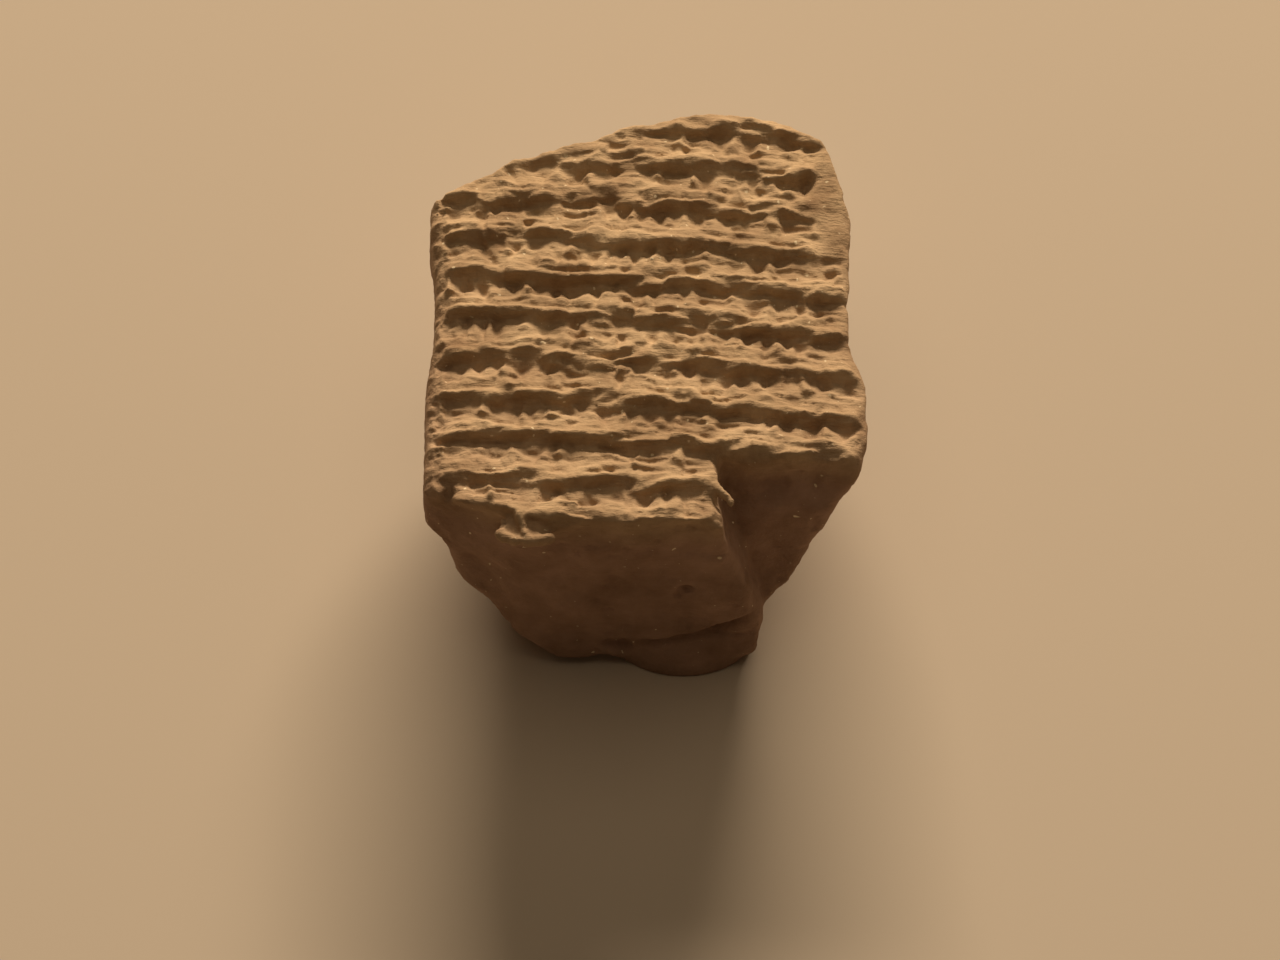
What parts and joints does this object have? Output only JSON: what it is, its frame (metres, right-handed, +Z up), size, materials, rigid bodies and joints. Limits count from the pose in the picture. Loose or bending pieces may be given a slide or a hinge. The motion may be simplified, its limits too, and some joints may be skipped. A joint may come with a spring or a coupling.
{
  "type": "clay tablet fragment",
  "caption": "Thick broken piece of a clay tablet, its face covered in rows of shallow wedge-shaped stylus marks, lying face up",
  "frame": {"origin": "on the surface that the fragment lies on, under the middle of the written face, on the worn underside", "axes": "+Z up out of the written face, +Y from the foot break to the head break, +X across the face to its right edge as read"},
  "size_m": [0.0536, 0.0631, 0.034],
  "materials": {
    "clay": "dry matt unfired clay, worn, rough where it is broken"
  },
  "bodies": {
    "root": {"tablet_fragment": "clay"}
  },
  "joints": []
}
